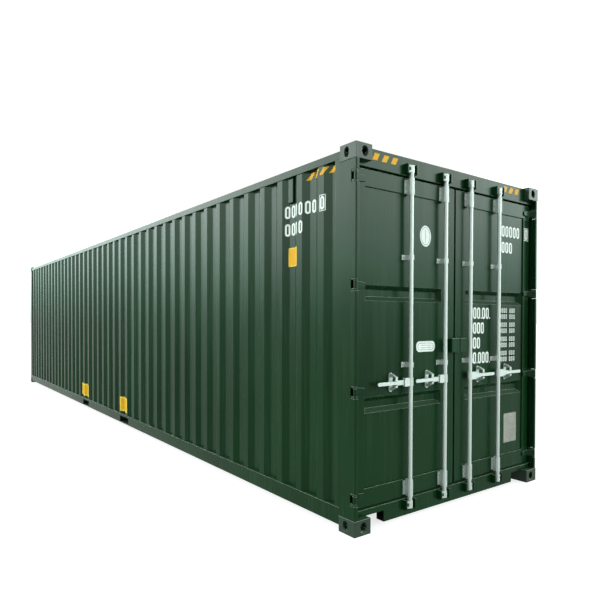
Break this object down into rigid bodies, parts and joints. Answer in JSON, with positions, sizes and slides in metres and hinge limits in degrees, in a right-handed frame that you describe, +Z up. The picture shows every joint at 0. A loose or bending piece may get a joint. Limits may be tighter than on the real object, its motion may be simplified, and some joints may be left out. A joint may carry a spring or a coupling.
{
  "type": "shipping container",
  "caption": "Green forty foot high cube steel shipping container with corrugated walls, corner castings and double doors with galvanised locking bars.",
  "frame": {"origin": "centre of the footprint, on the plane of the bottom castings' undersides", "axes": "+X across the container to the right as seen from the doors, +Y along it from the doors to the blind end, +Z up"},
  "size_m": [2.438, 12.192, 2.896],
  "materials": {
    "green_paint": "semi gloss",
    "cast_steel": "semi gloss over a cast skin",
    "underframe_paint": "satin",
    "galvanised_steel": "hot dip galvanised",
    "seal_rubber": "matte",
    "floor_timber": "oiled plywood"
  },
  "bodies": {
    "frame": {"blind_castings": "cast_steel", "blind_header": "green_paint", "blind_left_post": "green_paint", "blind_right_post": "green_paint", "blind_sill": "green_paint", "blind_wall": "green_paint", "bottom_left_rail": "green_paint", "bottom_right_rail": "green_paint", "cam_keepers": "green_paint", "cross_members": "underframe_paint", "door_castings": "cast_steel", "door_header": "green_paint", "door_left_post": "green_paint", "door_right_post": "green_paint", "door_sill": "green_paint", "floor_boards": "floor_timber", "fork_pockets": "underframe_paint", "gooseneck_tunnel": "underframe_paint", "left_hinge_lugs": "green_paint", "left_side_wall": "green_paint", "right_hinge_lugs": "green_paint", "right_side_wall": "green_paint", "roof_panel": "green_paint", "top_left_rail": "green_paint", "top_right_rail": "green_paint", "ventilators": "green_paint"},
    "left_door": {"left_bar_brackets": "galvanised_steel", "left_door_frame": "green_paint", "left_door_gasket": "seal_rubber", "left_door_hinges": "green_paint", "left_door_panel": "green_paint", "left_handle_retainers": "galvanised_steel", "left_lock_box": "green_paint"},
    "right_door": {"right_bar_brackets": "galvanised_steel", "right_door_frame": "green_paint", "right_door_gasket": "seal_rubber", "right_door_hinges": "green_paint", "right_door_panel": "green_paint", "right_handle_retainers": "galvanised_steel", "right_lock_box": "green_paint"},
    "left_bar_1": {"left_bar_1": "galvanised_steel"},
    "left_handle_1": {"left_handle_1": "galvanised_steel"},
    "left_catch_1": {"left_catch_1": "galvanised_steel"},
    "left_bar_2": {"left_bar_2": "galvanised_steel"},
    "left_handle_2": {"left_handle_2": "galvanised_steel"},
    "left_catch_2": {"left_catch_2": "galvanised_steel"},
    "right_bar_1": {"right_bar_1": "galvanised_steel"},
    "right_handle_1": {"right_handle_1": "galvanised_steel"},
    "right_catch_1": {"right_catch_1": "galvanised_steel"},
    "right_bar_2": {"right_bar_2": "galvanised_steel"},
    "right_handle_2": {"right_handle_2": "galvanised_steel"},
    "right_catch_2": {"right_catch_2": "galvanised_steel"}
  },
  "joints": [
    {"name": "left_door_hinge", "type": "hinge", "parent": "frame", "child": "left_door", "pos_m": [-1.203, -6.08, 1.454], "axis": [0, 0, -1], "range_deg": [0, 265]},
    {"name": "left_bar_1_turn", "type": "hinge", "parent": "left_door", "child": "left_bar_1", "pos_m": [-0.6, -6.073, 1.458], "axis": [0, 0, -1], "range_deg": [-100, 0]},
    {"name": "left_handle_1_lift", "type": "hinge", "parent": "left_bar_1", "child": "left_handle_1", "pos_m": [-0.655, -6.073, 1.104], "axis": [0, -1, 0], "range_deg": [-10, 0]},
    {"name": "left_catch_1_swing", "type": "hinge", "parent": "left_door", "child": "left_catch_1", "pos_m": [-0.778, -6.066, 1.162], "axis": [0, -1, 0], "range_deg": [-90, 0]},
    {"name": "left_bar_2_turn", "type": "hinge", "parent": "left_door", "child": "left_bar_2", "pos_m": [-0.172, -6.073, 1.458], "axis": [0, 0, -1], "range_deg": [-100, 0]},
    {"name": "left_handle_2_lift", "type": "hinge", "parent": "left_bar_2", "child": "left_handle_2", "pos_m": [-0.227, -6.073, 1.104], "axis": [0, -1, 0], "range_deg": [-10, 0]},
    {"name": "left_catch_2_swing", "type": "hinge", "parent": "left_door", "child": "left_catch_2", "pos_m": [-0.35, -6.066, 1.162], "axis": [0, -1, 0], "range_deg": [-90, 0]},
    {"name": "right_door_hinge", "type": "hinge", "parent": "frame", "child": "right_door", "pos_m": [1.203, -6.08, 1.454], "axis": [0, 0, 1], "range_deg": [0, 265]},
    {"name": "right_bar_1_turn", "type": "hinge", "parent": "right_door", "child": "right_bar_1", "pos_m": [0.6, -6.073, 1.458], "axis": [0, 0, 1], "range_deg": [-100, 0]},
    {"name": "right_handle_1_lift", "type": "hinge", "parent": "right_bar_1", "child": "right_handle_1", "pos_m": [0.655, -6.073, 1.104], "axis": [0, 1, 0], "range_deg": [-10, 0]},
    {"name": "right_catch_1_swing", "type": "hinge", "parent": "right_door", "child": "right_catch_1", "pos_m": [0.778, -6.066, 1.162], "axis": [0, 1, 0], "range_deg": [-90, 0]},
    {"name": "right_bar_2_turn", "type": "hinge", "parent": "right_door", "child": "right_bar_2", "pos_m": [0.172, -6.073, 1.458], "axis": [0, 0, 1], "range_deg": [-100, 0]},
    {"name": "right_handle_2_lift", "type": "hinge", "parent": "right_bar_2", "child": "right_handle_2", "pos_m": [0.227, -6.073, 1.104], "axis": [0, 1, 0], "range_deg": [-10, 0]},
    {"name": "right_catch_2_swing", "type": "hinge", "parent": "right_door", "child": "right_catch_2", "pos_m": [0.35, -6.066, 1.162], "axis": [0, 1, 0], "range_deg": [-90, 0]}
  ]
}
